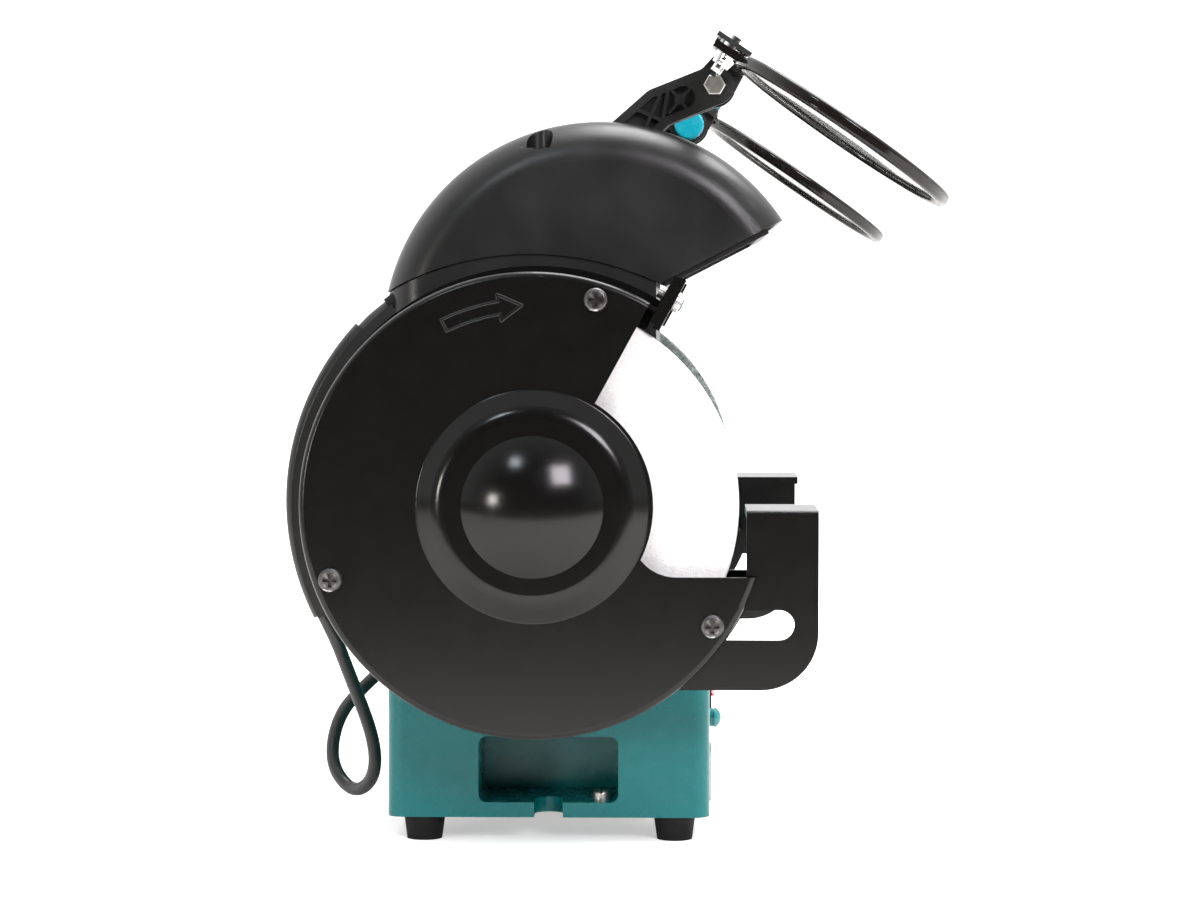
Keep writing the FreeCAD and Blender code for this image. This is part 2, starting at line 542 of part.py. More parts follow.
def make_base():
    mid_x = -SHAFT_X
    body = box(BASE_BACK, BASE_FRONT, -BASE_HALF, BASE_HALF, BASE_BOTTOM, BASE_TOP)
    body = rounded(body, BASE_ROUND, lambda e: abs(e.Length - (BASE_TOP - BASE_BOTTOM)) < 0.01)
    inner = box(BASE_BACK + BASE_WALL, BASE_FRONT - BASE_WALL, -BASE_HALF + BASE_WALL, BASE_HALF - BASE_WALL,
                BASE_BOTTOM - 1, BASE_TOP - BASE_WALL)
    shell = body.cut(inner)
    pocket_boxes = []
    solids = []
    for s in (-1, 1):
        y_out, y_in = s * BASE_HALF, s * (BASE_HALF - POCKET_DEPTH)
        lo, hi = sorted((y_out, y_in - s * BASE_WALL))
        solids.append(box(mid_x - POCKET_HALF - BASE_WALL, mid_x + POCKET_HALF + BASE_WALL, lo, hi,
                          BASE_BOTTOM, POCKET_TOP + BASE_WALL))
        lo, hi = sorted((y_out + s, y_in))
        pocket = box(mid_x - POCKET_HALF, mid_x + POCKET_HALF, lo, hi, POCKET_FLOOR, POCKET_TOP)
        pocket = rounded(pocket, 3.0, lambda e: abs(e.Length - (hi - lo)) < 0.01)
        y_bolt = s * (BASE_HALF - BOLT_SLOT_DEPTH)
        lo, hi = sorted((y_bolt, y_out + s))
        notch = fuse([
            rod(BOLT_SLOT_R, (mid_x, y_bolt, BASE_BOTTOM - 1), (mid_x, y_bolt, POCKET_FLOOR + 1)),
            box(mid_x - BOLT_SLOT_R, mid_x + BOLT_SLOT_R, lo, hi, BASE_BOTTOM - 1, POCKET_FLOOR + 1),
        ])
        pocket_boxes += [pocket, notch]
    posts = [rod(6.5, (x, y, BASE_BOTTOM), (x, y, BASE_BOTTOM + 14)) for x, y in FEET]
    rib = box(BASE_BACK + 1, BASE_FRONT - 1, -52, 52, -78, -74)
    cradle = rod_y(MOTOR_R, -120, 120)
    bolt_holes = [rod(2.7, (0, y, -90), (0, y, -70)) for y in (-45, 45)]
    foot_holes = [rod(2.0, (x, y, BASE_BOTTOM - 1), (x, y, BASE_BOTTOM + 9)) for x, y in FEET]
    rib_window = box(-44, 44, -30, 30, -80, -70)
    switch_bay = box(40, BASE_FRONT - BASE_WALL, -16, 16, SWITCH_Z - 13, SWITCH_Z + 12)
    switch_hole = box(BASE_FRONT - 5, BASE_FRONT + 1, -13, 13, SWITCH_Z - 8.5, SWITCH_Z + 8.5)
    button_hole = rod(3.6, (BASE_FRONT - 5, BUTTON_Y, BUTTON_Z), (BASE_FRONT + 1, BUTTON_Y, BUTTON_Z))
    cable_hole = rod(6.5, (BASE_BACK - 1, MAINS_Y, MAINS_Z), (BASE_BACK + 5, MAINS_Y, MAINS_Z))
    gland_at, gland_in = LEAD_LOOP[-1], LEAD_LOOP[-2]
    gland_hole = gland_rod(gland_at, gland_in, 4.05, -2, 14)
    spots = [(x, y) for x in (BASE_BACK + 6, BASE_FRONT - 6) for y in (-40, 40)]
    plate_posts = [rod(4.0, (x, y, BASE_BOTTOM + 2), (x, y, BASE_BOTTOM + 12)) for x, y in spots]
    plate_threads = [rod(1.5, (x, y, BASE_BOTTOM), (x, y, BASE_BOTTOM + 10)) for x, y in spots]
    housing = fuse([shell, rib] + solids + posts + plate_posts)
    housing = cut(housing, pocket_boxes + [cradle, rib_window, switch_bay])
    housing = cut(housing, bolt_holes + foot_holes + plate_threads)
    save("base_housing", cut(housing, [switch_hole, button_hole, cable_hole, gland_hole]))

    plate = box(BASE_BACK + BASE_WALL + 0.3, BASE_FRONT - BASE_WALL - 0.3, -49.5, 49.5,
                BASE_BOTTOM, BASE_BOTTOM + 2)
    vents = [box(x, x + 3, -20, 20, BASE_BOTTOM - 1, BASE_BOTTOM + 3) for x in range(-14, 24, 8)]
    save("base_plate", cut(plate, [rod(1.7, (x, y, -125), (x, y, -115)) for x, y in spots] + vents))
    screws = [
        fuse([rod(1.48, (x, y, -121.5), (x, y, -112)), rod(3.0, (x, y, -122.6), (x, y, -121))])
        for x, y in spots
    ]
    feet = []
    for x, y in FEET:
        foot = cone(6.7, 7.9, (x, y, BASE_BOTTOM - FOOT_HEIGHT), (x, y, BASE_BOTTOM))
        recess = rod(3.6, (x, y, BASE_BOTTOM - FOOT_HEIGHT - 1), (x, y, BASE_BOTTOM - 5))
        feet.append(cut(foot, [recess, rod(2.02, (x, y, -140), (x, y, BASE_BOTTOM + 1))]))
    save("rubber_feet", *feet)
    screws += [
        fuse([rod(1.98, (x, y, -126.5), (x, y, BASE_BOTTOM + 8.5)), rod(3.4, (x, y, -128.2), (x, y, -126))])
        for x, y in FEET
    ]
    for s in (-1, 1):
        x, y = mid_x + POCKET_HALF - 6.7, s * (BASE_HALF - 12)
        head = rod(3.6, (x, y, POCKET_FLOOR), (x, y, POCKET_FLOOR + 3.4))
        head = rounded(head, 1.6, lambda e: abs(e.CenterOfMass.z - POCKET_FLOOR - 3.4) < 0.01)
        screws.append(head.cut(box(x - 0.5, x + 0.5, y - 4, y + 4, POCKET_FLOOR + 2.2, POCKET_FLOOR + 4)))
    save("base_screws", *screws)
    make_electrics()


def gland_rod(face, before, r, start, end):
    """A round bar that carries on in line with a cord's last run, measured from its end face."""
    a, b = Vec(*before), Vec(*face)
    line = (b - a).normalize()
    low, high = b + line * start, b + line * end
    return rod(r, tuple(low), tuple(high))


def make_electrics():
    """What hides in the base and looks out through its front and back faces."""
    front, z = BASE_FRONT, SWITCH_Z
    body = box(front - 12, front + 1.2, -12.9, 12.9, z - 8.4, z + 8.4)
    waist = box(front - 13, front - 4, -14, 14, z - 7, z + 7)
    waist = waist.cut(box(front - 13, front - 4, -11.5, 11.5, z - 7, z + 7))
    well = box(front - 9, front + 3, -10.2, 10.2, z - 6.2, z + 6.2)
    bezel = box(front, front + 1.2, -15, 15, z - 10.2, z + 10.2)
    axle = rod(1.5, (front - 2.5, -12, z), (front - 2.5, 12, z))
    save("switch_body", cut(fuse([body.cut(waist), bezel]), [well, axle]))
    low, high, back = (front + 2.6, z - 5.7), (front + 3.6, z + 5.1), front - 6.5
    rocker = outline([
        [(back, z - 4.5), low],
        [low, (front + 0.4, z), high],
        [high, (back, z + 4.5)],
        [(back, z + 4.5), (back, z - 4.5)],
    ], -9.9, 9.9)
    save("switch_rocker", fuse([rocker, rod(1.45, (front - 2.5, -11.9, z), (front - 2.5, 11.9, z))]))
    y, z = BUTTON_Y, BUTTON_Z
    stem = rod(3.55, (front - 6, y, z), (front + 2.2, y, z))
    cap_space = box(front + 2.05, front + 8, y - 6, y + 6, z - 6, z + 6)
    cap = Part.makeSphere(4.6, Vec(front + 0.2, y, z)).common(cap_space)
    save("reset_button", fuse([stem, cap]))
    save("nameplate", box(front, front + 0.8, -82, -56, -116, -97))

    clip = ring_y(16.5, 15.0, -6, 6, -30, -100).cut(box(-60, 0, -8, 8, -120, -108))
    foot = box(-46.5, -43.5, -6, 6, -100, -78)
    save("capacitor", rod_y(15.0, -22, 22, -30, -100), fuse([clip, foot.cut(rod_y(15.0, -8, 8, -30, -100))]))
    block = box(8, 40, -10, 6, -90, -78)
    block = cut(block, [rod(2.2, (x, -2, -91), (x, -2, -82)) for x in (13, 21, 29, 37)])
    save("terminal_block", block, box(front - 26, front - 8.2, y - 6, y + 6, z - 8, z + 8))
    save("cable_glands", mains_gland(), loop_gland(), gland_rod(LEAD_TOP[-1], LEAD_TOP[-2], 3.5, 0, 6))


def mains_gland():
    """The bush for the mains cable, with a short taper outside and a collar on the base's back."""
    def along(x):
        return BASE_BACK + x, MAINS_Y, MAINS_Z

    sleeve = cone(4.8, 6.4, along(-11), along(-2))
    return fuse([sleeve, rod(8.5, along(-2.5), along(0)), rod(6.4, along(0), along(6))]).cut(
        rod(3.4, along(-12), along(7)))


def loop_gland():
    """The strain relief where the lead goes into the base: a taper round the cord, shut behind its end."""
    a, b = Vec(*LEAD_LOOP[-2]), Vec(*LEAD_LOOP[-1])
    line = (b - a).normalize()
    taper = cone(LEAD_R + 0.9, 4.0, tuple(b - line * 12), tuple(b))
    sleeve = taper.cut(rod(LEAD_R + 0.05, tuple(b - line * 13), tuple(b)))
    return fuse([sleeve, gland_rod(LEAD_LOOP[-1], LEAD_LOOP[-2], 4.0, 0, 13)])


# ---------------------------------------------------------------- lamp hood
def hood_profile(grow=0.0, open_faces=False):
    """The hood's side outline: a big arc over the top, a slanted front opening, and a hollow underside."""
    cx, cz = HOOD_CENTRE
    r = HOOD_R + grow
    start = atan2(HOOD_TIP[1] - cz, HOOD_TIP[0] - cx)
    end = pi - atan2(HOOD_BACK[1] - cz, cx - HOOD_BACK[0])
    tip = (cx + r * cos(start), cz + r * sin(start))
    back = (cx + r * cos(end), cz + r * sin(end))
    top = (cx + r * cos((start + end) / 2), cz + r * sin((start + end) / 2))
    if open_faces:
        drop = 30.0
        return [
            [tip, top, back], [back, (back[0], back[1] - drop)],
            [(back[0], back[1] - drop), (tip[0], back[1] - drop)], [(tip[0], back[1] - drop), tip],
        ]
    belly = (SADDLE_CENTRE[0], SADDLE_CENTRE[1] + SADDLE_R)
    return [[tip, top, back], [back, belly, HOOD_HEEL], [HOOD_HEEL, tip]]


def hood_solid():
    body = outline(hood_profile(), -HOOD_HALF, HOOD_HALF)
    crest = HOOD_CENTRE[1] + 20
    return rounded(
        body, HOOD_ROUND,
        lambda e: abs(abs(e.CenterOfMass.y) - HOOD_HALF) < 0.01
        and e.Length > 150 and e.CenterOfMass.z > crest)


HOOD_SCREW_Y = 81.5
HOOD_SCREW_Z = 128.6
HOOD_NOTCH_Z = 132.4


def arm_box(width, height, start, end, y=-ARM_Y):
    """A square bar along the arm's line, measured from the elbow."""
    dx, dz = ARM_LINE
    mid = [(ARM_ELBOW[0] + dx * s, ARM_ELBOW[1] + dz * s) for s in (start, end)]
    nx, nz = -dz * height / 2, dx * height / 2
    points = [(mid[0][0] + nx, mid[0][1] + nz), (mid[1][0] + nx, mid[1][1] + nz),
              (mid[1][0] - nx, mid[1][1] - nz), (mid[0][0] - nx, mid[0][1] - nz)]
    return prism(points, y - width / 2, y + width / 2)


def arm_sweep():
    """The room that the arm's bent end needs as it slides in, with a little to spare."""
    y0, y1 = -ARM_Y - ARM_WIDTH / 2 - 0.3, -ARM_Y + ARM_WIDTH / 2 + 0.3
    back = RIGHT_ARM_IN + 2.5
    dx, dz = ARM_LINE
    elbow_in = (ARM_ELBOW[0] - dx * back, ARM_ELBOW[1] - dz * back)
    bolt_in = (TILT_BOLT[0] - dx * back, TILT_BOLT[1] - dz * back)
    width = ARM_HEIGHT + 0.8
    links = [(elbow_in, bolt_in), (ARM_ELBOW, TILT_BOLT), (elbow_in, ARM_ELBOW), (bolt_in, TILT_BOLT)]
    bars = [bar(p, q, width, y0, y1) for p, q in links]
    return fuse(bars + [prism([elbow_in, bolt_in, TILT_BOLT, ARM_ELBOW], y0, y1)])


def make_hood():
    outside = hood_solid()
    hollow = outline(hood_profile(-HOOD_WALL, open_faces=True), -HOOD_HALF + HOOD_WALL, HOOD_HALF - HOOD_WALL)
    top_edges = HOOD_CENTRE[1] + 20
    hollow = rounded(
        hollow, HOOD_ROUND - HOOD_WALL,
        lambda e: abs(abs(e.CenterOfMass.y) - HOOD_HALF + HOOD_WALL) < 0.01 and e.Length > 150
        and e.CenterOfMass.z > top_edges)
    shell = outside.cut(hollow)
    saddle_top = SADDLE_CENTRE[1] + SADDLE_R
    posts, wells = [], []
    for y in (-HOOD_SCREW_Y, HOOD_SCREW_Y):
        posts.append(rod(7.0, (0, y, saddle_top - 4), (0, y, 138)).common(outside))
        y_notch = y + 1.5 if y > 0 else y - 1.5
        wells.append(rod(5.0, (0, y_notch, HOOD_NOTCH_Z), (0, y_notch, 150)))
        wells.append(rod(4.5, (0, y, HOOD_SCREW_Z), (0, y, 150)))
        wells.append(rod(2.3, (0, y, 60), (0, y, 150)))
    guides, tunnels = [], []
    for y in (-ARM_Y, ARM_Y):
        guides.append(arm_box(ARM_WIDTH + 5, ARM_HEIGHT + 5, -ARM_TAIL - 4, 20, y).common(outside))
        tunnels.append(arm_box(ARM_WIDTH + 0.5, ARM_HEIGHT + 0.5, -ARM_TAIL - 30, 30, y))
    flares = [arm_sweep(), mirrored(arm_sweep())]
    hood = cut(fuse([shell] + posts + guides), wells + tunnels + flares)
    save("lamp_hood", hood)
    make_saddle()
    make_lamp(hood)


def make_saddle():
    """The hood's seat: an open box that stands on the motor housing and closes the hood from below."""
    x0, x1, half = -58.0, 44.2, HOOD_HALF - 1.2

    def block(inset, z0):
        top_r = SADDLE_R - inset
        cx, cz = SADDLE_CENTRE
        left, right = x0 + inset, x1 - inset
        z_left = cz + sqrt(top_r ** 2 - (left - cx) ** 2)
        z_right = cz + sqrt(top_r ** 2 - (right - cx) ** 2)
        solid = outline([
            [(left, z0), (left, z_left)],
            [(left, z_left), (cx, cz + top_r), (right, z_right)],
            [(right, z_right), (right, z0)],
            [(right, z0), (left, z0)],
        ], -half + inset, half - inset)
        upright = z_left - z0 - 0.1
        return rounded(
            solid, SADDLE_ROUND - inset,
            lambda e: e.Length > upright and abs(e.CenterOfMass.x - left) < 0.01
            and abs(e.Vertexes[0].Y - e.Vertexes[-1].Y) < 0.01)

    body = block(0.0, 30.0).cut(block(HOOD_WALL, 29.0))
    posts = [rod(5.5, (0, y, 66), (0, y, 90)) for y in (-HOOD_SCREW_Y + 3, HOOD_SCREW_Y - 3)]
    body = fuse([body] + [post.common(block(0.0, 30.0)) for post in posts])
    threads = [rod(2.02, (0, y, 82), (0, y, 95)) for y in (-HOOD_SCREW_Y, HOOD_SCREW_Y)]
    gland_hole = gland_rod(LEAD_TOP[-1], LEAD_TOP[-2], 3.55, -6, 12)
    cable_way = rod(6.0, (-20, 30, 80), (-20, 30, 95))
    tools = [rod_y(MOTOR_R, -120, 120), gland_hole, cable_way, hood_solid()]
    save("hood_saddle", cut(body, tools + threads))


def make_lamp(hood):
    """A tube lamp in a bent reflector, behind a frosted window in the slanted opening."""
    tip, heel = HOOD_TIP, HOOD_HEEL
    length = sqrt((tip[0] - heel[0]) ** 2 + (tip[1] - heel[1]) ** 2)
    ux, uz = (heel[0] - tip[0]) / length, (heel[1] - tip[1]) / length
    nx, nz = -uz, ux
    if nz > 0:
        nx, nz = -nx, -nz

    def slope(along0, along1, out0, out1, half):
        """A slab in the opening's plane, measured from the tip and outwards."""
        corners = [(along0, out0), (along1, out0), (along1, out1), (along0, out1)]
        return prism([(tip[0] + ux * a + nx * o, tip[1] + uz * a + nz * o) for a, o in corners], -half, half)

    frame = slope(6.0, length - 1.0, -3.0, 2.0, 84.0)
    window_hole = slope(11.0, length - 6.0, -4.0, 3.0, 79.0)
    seat = slope(9.0, length - 4.0, -4.0, -0.5, 81.0)
    save("window_frame", cut(frame, [window_hole, seat, hood]))
    save("lamp_window", slope(9.2, length - 4.2, -2.8, -0.6, 80.8))
    lamp = (50.0, 103.0)
    save("lamp_tube", rod_y(7.5, -50, 50, *lamp))
    x, z = lamp
    sockets = [box(x - 10, x + 10, *sorted((s * 50, s * 52.5)), z - 9, z + 21) for s in (-1, 1)]
    bridge = box(x - 10, x + 10, -52.5, 52.5, z + 19, z + 21)
    mirror = outline([
        [(34.0, 90.5), (50.0, 121.0), (70.0, 112.0)],
        [(70.0, 112.0), (69.4, 110.9)],
        [(69.4, 110.9), (50.2, 119.7), (35.2, 90.2)],
        [(35.2, 90.2), (34.0, 90.5)],
    ], -49.6, 49.6)
    save("lamp_holder", fuse(sockets + [bridge]), mirror)


# ---------------------------------------------------------------- eye shields
def recesses(y0, y1):
    """The sunk panels of the arm's side, left between a border, cross braces, a boss and a star."""
    ex, ez = ARM_ELBOW
    bx, bz = TILT_BOLT
    panel = fuse([
        bar((ex - 0.752 * 30, ez - 0.659 * 30), (ex, ez), 8.6, y0, y1),
        bar((ex, ez), (ex + (bx - ex) * 0.45, ez + (bz - ez) * 0.45), 8.6, y0, y1),
    ])
    braces = [
        bar((ex - 18, ez - 11), (ex - 14, ez - 18), 1.4, y0, y1),
        rod_y(2.9, y0, y1, ex - 10, ez - 8),
        bar((ex - 6, ez - 10), (ex + 1.0, ez + 6), 1.4, y0, y1),
        bar((ex - 8, ez - 1), (ex + 3.5, ez - 6), 1.4, y0, y1),
        bar((ex + 1.5, ez - 5), (ex + 3.5, ez + 6.5), 1.4, y0, y1),
        rod_y(2.2, y0, y1, ex + 8, ez + 3),
        bar((ex + 4.5, ez + 7), (ex + 11.5, ez - 1.5), 1.2, y0, y1),
        bar((ex + 4.0, ez - 2), (ex + 12.5, ez + 8), 1.2, y0, y1),
    ]
    return panel.cut(fuse(braces))


def shield_arm():
    """The arm slides in its tunnel in the hood; its end forks outward to the tilt bolt."""
    y0, y1 = -ARM_Y - ARM_WIDTH / 2, -ARM_Y + ARM_WIDTH / 2
    tail = arm_box(ARM_WIDTH, ARM_HEIGHT, -ARM_TAIL, 0)
    elbow = rod_y(ARM_HEIGHT / 2, y0, y1, *ARM_ELBOW)
    arm = fuse([tail, elbow, bar(ARM_ELBOW, TILT_BOLT, ARM_HEIGHT, y0, y1)])
    gap = rod_y(12.5, -ARM_Y - 2.6, -ARM_Y + 2.6, *TILT_BOLT)
    bolt_hole = rod_y(2.05, y0 - 1, y1 + 1, *TILT_BOLT)
    hex_seat = hexagon(7.6, y0 - 1, y0 + 1.2, *TILT_BOLT)
    return cut(arm, [gap, bolt_hole, hex_seat, recesses(y0 - 1, y0 + 3.5), recesses(y1 - 3.5, y1 + 1)])


def ring_frame():
    """How the shield's own flat frame lies: x along its fall from the tip, z square to it."""
    c, s = cos(radians(SHIELD_TILT)), sin(radians(SHIELD_TILT))

    def place(along, lift):
        return SHIELD_TIP[0] + along * c - lift * s, SHIELD_TIP[1] + along * s + lift * c
    return place


def laid(shape):
    """Moves a piece drawn flat (x from the tip, y along the shaft, z up) to the shield's tilted place."""
    copy = shape.copy()
    copy.rotate(Vec(0, 0, 0), Vec(0, -1, 0), SHIELD_TILT)
    copy.translate(Vec(SHIELD_TIP[0], 0, SHIELD_TIP[1]))
    return copy


def shield_parts():
    """Frame, lens, bracket, tilt tongue, bolts and knob of the left shield, keyed by node name."""
    cx, cy = SHIELD_R, -SHIELD_Y
    hoop = rod(SHIELD_R, (cx, cy, -2.4), (cx, cy, 2.4)).cut(rod(SHIELD_R - 4.6, (cx, cy, -3), (cx, cy, 3)))
    hoop = rounded(hoop, 1.5, lambda e: True)
    groove = rod(SHIELD_R - 2.9, (cx, cy, -1.05), (cx, cy, 1.05))
    screw_x = -4.0
    screw_hole = rod(2.1, (screw_x, cy, -9), (screw_x, cy, 9))
    ear = box(-10.0, 2.0, cy - 7, cy + 7, -1.4, 1.4)
    hoop = cut(fuse([hoop, ear]), [groove, screw_hole])
    lens = rod(SHIELD_R - 2.95, (cx, cy, -1.0), (cx, cy, 1.0))
    parts = {"shield_frame": laid(hoop), "shield_lens": laid(lens)}

    plate = box(-11.0, 3.5, cy - 8, -ARM_Y + 7, 2.5, 4.3)
    flange = box(-11.0, -9.6, cy + 12, -ARM_Y + 7, 1.4, 3.0)
    relief = rod(SHIELD_R + 0.3, (cx, cy, 2), (cx, cy, 2.45))
    bracket = cut(fuse([plate, flange]), [relief, screw_hole])
    spacer = rod(3.4, (screw_x, cy, 1.4), (screw_x, cy, 2.5)).cut(screw_hole)
    parts["shield_bracket"] = laid(fuse([bracket, spacer]))

    bolt = fuse([rod(2.05, (screw_x, cy, -8.5), (screw_x, cy, 4.3)),
                 rod(3.6, (screw_x, cy, 4.3), (screw_x, cy, 6.3))])
    hub = cone(4.2, 3.2, (screw_x, cy, -1.42), (screw_x, cy, -5.6))
    wings = []
    for s in (-1, 1):
        blade = Part.makeCylinder(3.6, 1.5, Vec(screw_x - 0.75, cy + s * 5.6, -6.4), Vec(1, 0, 0))
        root = box(screw_x - 0.75, screw_x + 0.75, *sorted((cy + s * 1.0, cy + s * 5.6)), -6.4, -2.4)
        wings += [blade, root]
    nut = fuse([hub] + wings).cut(rod(2.08, (screw_x, cy, -12), (screw_x, cy, 0)))
    parts["shield_clamp"] = Part.makeCompound([laid(bolt), laid(nut)])

    y_in = -ARM_Y
    place = ring_frame()
    eye = rod_y(8.2, y_in - 2.4, y_in + 2.4, *TILT_BOLT)
    upper = [place(-9.5, 2.45), place(3.5, 2.45), place(4.5, -6.0)]
    lower = [(TILT_BOLT[0] + 5.4, TILT_BOLT[1] - 6.0), (TILT_BOLT[0] - 7.0, TILT_BOLT[1] + 4.0)]
    tongue = prism(upper + lower, y_in - 2.4, y_in + 2.4)
    saddle = prism([place(-9.5, -0.8), place(-9.5, 2.45), place(3.5, 2.45), place(3.5, -0.8)],
                   y_in - 7, y_in + 7)
    clear = fuse([rod_y(9.0, y_in - 8, y_in - 2.4, *TILT_BOLT), rod_y(9.0, y_in + 2.4, y_in + 8, *TILT_BOLT)])
    tongue = fuse([eye, tongue, saddle.cut(clear)]).cut(rod_y(2.06, y_in - 9, y_in + 9, *TILT_BOLT))
    parts["shield_tongue"] = tongue

    y_out, y_knob = y_in - ARM_WIDTH / 2, y_in + ARM_WIDTH / 2
    bolt = fuse([hexagon(7.4, y_out - 2.4, y_out + 1.1, *TILT_BOLT),
                 rod_y(2.02, y_out, y_knob + 9.5, *TILT_BOLT)])
    parts["tilt_bolt"] = rounded(
        bolt, 0.6, lambda e: abs(e.CenterOfMass.y - y_out + 2.4) < 0.01)
    grip = rod_y(6.2, y_knob + 0.3, y_knob + 8.3, *TILT_BOLT)
    flutes = []
    for k in range(18):
        x, z = polar(6.55, k * 20)
        flutes.append(rod_y(0.6, y_knob + 1.5, y_knob + 9, TILT_BOLT[0] + x, TILT_BOLT[1] + z))
    grip = rounded(grip, 1.0, lambda e: abs(e.CenterOfMass.y - y_knob - 8.3) < 0.01)
    parts["tilt_knob"] = cut(grip, flutes + [rod_y(2.08, y_knob, y_knob + 7.3, *TILT_BOLT)])
    parts["tilt_bolt"] = parts["tilt_bolt"].cut(rod_y(5, y_knob + 7.0, y_knob + 12, *TILT_BOLT))
    return parts


def make_shields():
    parts = shield_parts()
    parts["shield_arm"] = shield_arm()
    dx, dz = ARM_LINE
    for node, solid in parts.items():
        save(node + "_left", solid)
        save(node + "_right", moved(mirrored(solid), -dx * RIGHT_ARM_IN, 0, -dz * RIGHT_ARM_IN))


# ---------------------------------------------------------------- lamp lead
def cord_tube(route, r):
    """Straight runs joined by tangent arcs, each as large as its two runs allow; prints the radii."""
    points = [Vec(*p) for p in route]
    edges, radii = [], []
    last = points[0]
    for before, at, after in zip(points, points[1:], points[2:]):
        a, b = (at - before), (after - at)
        half = a.getAngle(b) / 2
        reach = 0.45 * min(a.Length, b.Length)
        radius = reach / tan(half)
        radii.append(round(radius, 1))
        a.normalize()
        b.normalize()
        start, end = at - a * reach, at + b * reach
        bow = (start + end) * 0.5
        centre = at + (b - a).normalize() * (radius / cos(half))
        middle = centre + (bow - centre).normalize() * radius
        edges += [Part.LineSegment(last, start).toShape(), Part.Arc(start, middle, end).toShape()]
        last = end
    edges.append(Part.LineSegment(last, points[-1]).toShape())
    path = Part.Wire(edges)
    ring = Part.Wire(Part.makeCircle(r, points[0], (points[1] - points[0]).normalize()))
    tube = path.makePipeShell([ring], True, True)
    print("cord length %.1f mm, radii %s, volume ratio %.4f" % (
        path.Length, radii, tube.Volume / (pi * r * r * path.Length)))
    return tube


def make_lead():
    save("lamp_lead", cord_tube(LEAD_LOOP, LEAD_R))
    save("lamp_lead_top", cord_tube(LEAD_TOP, LEAD_R))
    save("lead_conduit", conduit())


def conduit():
    """The lead's duct: a tube on the edge of a curved shelf, with a flange on the back of the guard."""
    cx, cz = CONDUIT_CENTRE
    angles = [radians(a) for a in (CONDUIT_TOP, (CONDUIT_TOP + CONDUIT_END) / 2, CONDUIT_END)]
    spots = [Vec(cx + CONDUIT_CIRCLE * cos(a), CONDUIT_Y, cz + CONDUIT_CIRCLE * sin(a)) for a in angles]
    path = Part.Wire(Part.Arc(*spots).toShape())
    ring = Part.Wire(Part.makeCircle(CONDUIT_R, spots[0], Vec(sin(angles[0]), 0, -cos(angles[0]))))
    tube = path.makePipeShell([ring], True, True)
    shelf_r = CONDUIT_CIRCLE - 1.5

    def sector(r_in, y0, y1, top):
        far = 150.0
        rays = [(cx + far * cos(radians(a)), cz + far * sin(radians(a))) for a in (top, 170.0, CONDUIT_END)]
        return ring_y(shelf_r, r_in, y0, y1, cx, cz).common(prism([(cx, cz)] + rays, y0 - 1, y1 + 1))

    shelf = sector(shelf_r - 1.8, -GUARD_BACK_Y, CONDUIT_Y + 1, CONDUIT_TOP)
    flange_plate = sector(81.5, -GUARD_BACK_Y, -GUARD_BACK_Y + 1.6, CONDUIT_FLANGE_TOP)
    return fuse([tube, shelf, flange_plate])


def main():
    os.makedirs("parts", exist_ok=True)
    make_wheels()
    make_rotor()
    make_motor()
    make_guards()
    make_rests()
    make_screws()
    make_base()
    make_hood()
    make_shields()
    make_lead()


main()
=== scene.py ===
"""Looks for the bench grinder: materials on the CAD nodes, the lamp lead, fine detail, light and camera."""

import json

import bpy
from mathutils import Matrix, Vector


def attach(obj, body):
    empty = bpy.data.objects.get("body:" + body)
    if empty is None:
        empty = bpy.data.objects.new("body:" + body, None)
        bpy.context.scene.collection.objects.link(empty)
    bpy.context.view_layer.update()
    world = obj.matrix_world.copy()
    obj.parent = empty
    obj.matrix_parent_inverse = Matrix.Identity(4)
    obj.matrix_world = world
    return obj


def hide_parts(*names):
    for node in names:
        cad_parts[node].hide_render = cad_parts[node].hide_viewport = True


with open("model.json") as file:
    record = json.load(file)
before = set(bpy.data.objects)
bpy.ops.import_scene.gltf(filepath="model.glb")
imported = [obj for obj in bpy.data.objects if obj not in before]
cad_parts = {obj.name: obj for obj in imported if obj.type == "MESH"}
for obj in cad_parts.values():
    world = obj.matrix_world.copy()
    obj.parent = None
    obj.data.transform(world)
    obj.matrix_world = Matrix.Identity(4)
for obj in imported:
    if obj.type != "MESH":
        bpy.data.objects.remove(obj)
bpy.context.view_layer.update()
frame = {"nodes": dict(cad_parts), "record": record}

# The shaft's axis in the row frame, and millimetres as metres
SHAFT = Vector((-0.0035, 0.0, 0.130))
MM = 0.001

# The lamp lead: its radius, and the route of its free loop about the shaft's axis in mm
LEAD_R = 2.6
LEAD_LOOP = [
    (-83.4, -78.0, -45.07),
    (-78.46, -78.0, -54.88),
    (-75.32, -69.5, -66.61),
    (-65.81, -52.5, -97.62),
    (-67.3, -43, -114.14),
    (-76.84, -32, -121.24),
    (-86.79, -24, -110.51),
    (-85.06, -16, -93.63),
    (-76.66, -6, -82.4),
    (-60.6, 2.0, -68.5),
]

# The camera about the shaft's axis in mm, where it looks, and its lens and sensor in mm
CAMERA_PLACE = (57.0, -1348.0, 73.0)
CAMERA_LOOK = (-0.027, 1.0, -0.0435)
LENS = 100.0
SENSOR = 36.0

# The world's brightness in front of the object and beside or behind it
ROOM_DARK = 0.06
ROOM_PALE = 1.5

# The floor: its half width, where the white paper ends towards the camera and the painted shade of the unlit
# room begins, and where it starts to glow
FLOOR_REACH = 14.0
PAPER_EDGE = (-0.74, -0.64)
GLOW_RING = (0.30, 0.62)
GLOW_NEAR = 0.45

# The guard covers' domed boss, and the enamel's colour
BOSS_R = 0.0424
TEAL = (0.0035, 0.142, 0.146)


def at(x, y, z):
    """A point about the shaft's axis in mm, as a place in the row frame in metres."""
    return SHAFT + Vector((x, y, z)) * MM


